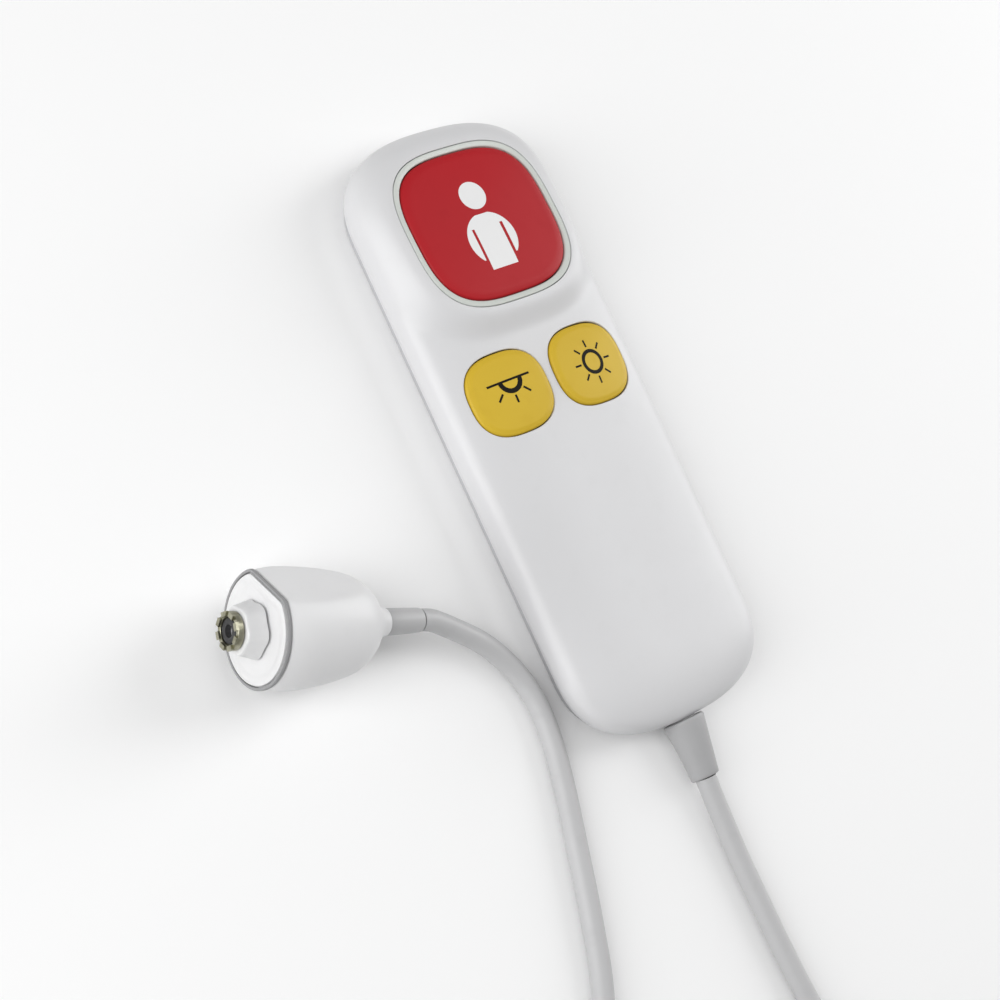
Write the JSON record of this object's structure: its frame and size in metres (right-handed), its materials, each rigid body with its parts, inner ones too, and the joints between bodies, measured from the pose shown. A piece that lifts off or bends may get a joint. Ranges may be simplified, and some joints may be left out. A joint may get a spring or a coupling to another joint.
{
  "type": "nurse call unit",
  "caption": "Hand-held nurse call unit: rounded white housing with a large red call button, two yellow light buttons, a coiled spare cable and a round wall plug.",
  "frame": {"origin": "middle of the handset's outline, on the surface that its flat rear cover lies on", "axes": "+Z out of the handset's front, where the buttons are; +Y along the handset towards the call button's end, away from the cable; +X to the right of the handset seen from the front"},
  "size_m": [0.1248, 0.2916, 0.0255],
  "materials": {
    "housing_front": "fine satin moulded surface",
    "housing_rear": "fine satin moulded surface",
    "seal_rubber": "smooth matt",
    "light_guide": "translucent, satin",
    "button_red": "satin with a printed pictogram",
    "button_yellow": "satin with printed pictograms",
    "black_plastic": "satin",
    "plunger_steel": "satin",
    "board_green": "solder mask",
    "lamp_clear": "clear resin",
    "wire_insulation": "smooth",
    "cable_jacket": "smooth soft jacket",
    "boot_rubber": "smooth matt",
    "tie_fabric": "woven hook-and-loop strap",
    "screw_steel": "zinc plated",
    "plug_plastic": "fine satin moulded surface",
    "contact_brass": "satin, slightly dulled"
  },
  "bodies": {
    "unit": {"front_shell": "housing_front", "rear_cover": "housing_rear", "shell_gasket": "seal_rubber", "call_light_ring": "light_guide", "call_switch": "black_plastic", "reading_light_switch": "black_plastic", "room_light_switch": "black_plastic", "circuit_board": "board_green", "call_lamp_left": "lamp_clear", "call_lamp_right": "lamp_clear", "cable_header": "black_plastic", "signal_wires": "wire_insulation", "inner_cable": "cable_jacket", "cable_clamp": "screw_steel", "housing_screw_1": "screw_steel", "housing_screw_2": "screw_steel", "housing_screw_3": "screw_steel", "housing_screw_4": "screw_steel", "board_screw_1": "screw_steel", "board_screw_2": "screw_steel", "board_screw_3": "screw_steel", "board_screw_4": "screw_steel", "clamp_screw_1": "screw_steel", "clamp_screw_2": "screw_steel", "handset_boot": "boot_rubber", "cable_handset_side": "cable_jacket", "cable_coil": "cable_jacket", "coil_tie": "tie_fabric", "cable_plug_side": "cable_jacket", "plug_body": "plug_plastic", "plug_gasket": "seal_rubber", "plug_face": "plug_plastic", "plug_nose": "plug_plastic", "contact_carrier": "black_plastic", "contact_ring": "contact_brass", "plug_sleeve": "boot_rubber"},
    "call_push": {"call_button": "button_red", "call_plunger": "plunger_steel"},
    "reading_light_push": {"reading_light_button": "button_yellow", "reading_light_plunger": "plunger_steel"},
    "room_light_push": {"room_light_button": "button_yellow", "room_light_plunger": "plunger_steel"}
  },
  "joints": [
    {"name": "call_press", "type": "slide", "parent": "unit", "child": "call_push", "axis": [0, 0, -1], "range_m": [0, 0.001], "stiffness_N_per_m": 1500},
    {"name": "reading_light_press", "type": "slide", "parent": "unit", "child": "reading_light_push", "axis": [0, 0, -1], "range_m": [0, 0.0008], "stiffness_N_per_m": 1500},
    {"name": "room_light_press", "type": "slide", "parent": "unit", "child": "room_light_push", "axis": [0, 0, -1], "range_m": [0, 0.0008], "stiffness_N_per_m": 1500}
  ]
}
